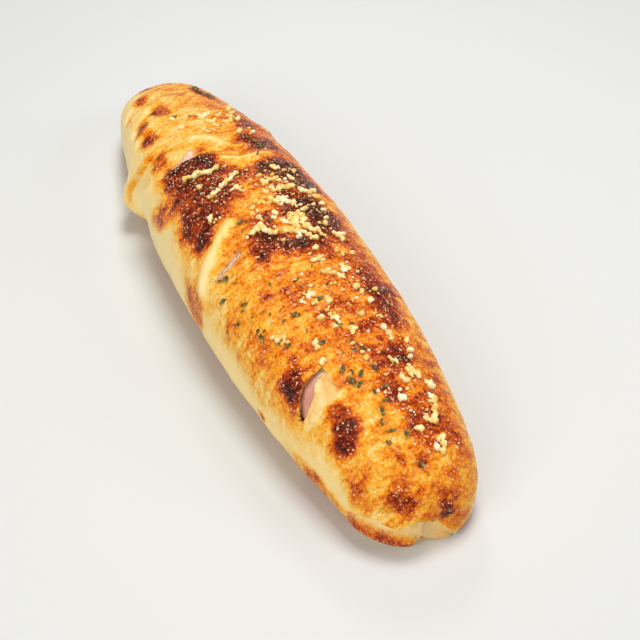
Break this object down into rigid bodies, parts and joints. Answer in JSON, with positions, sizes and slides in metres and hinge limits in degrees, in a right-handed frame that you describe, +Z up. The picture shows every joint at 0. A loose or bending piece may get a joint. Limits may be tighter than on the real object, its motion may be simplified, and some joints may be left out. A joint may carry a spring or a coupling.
{
  "type": "stromboli",
  "caption": "Long loaf of dough baked round a ham filling, slashed across the shoulder, with grated cheese and dried herbs on its scorched top; a serving of food that lies on a flat surface",
  "frame": {"origin": "bottom centre of the loaf's box, on the surface that it lies on", "axes": "+X along the loaf to its tucked end, +Z up, -Y the flank that the slashes lean towards"},
  "size_m": [0.2539, 0.0642, 0.0444],
  "materials": {
    "baked_dough": "satin",
    "cooked_ham": "satin"
  },
  "bodies": {
    "root": {"dough_crust": "baked_dough", "ham_filling": "cooked_ham"}
  },
  "joints": []
}
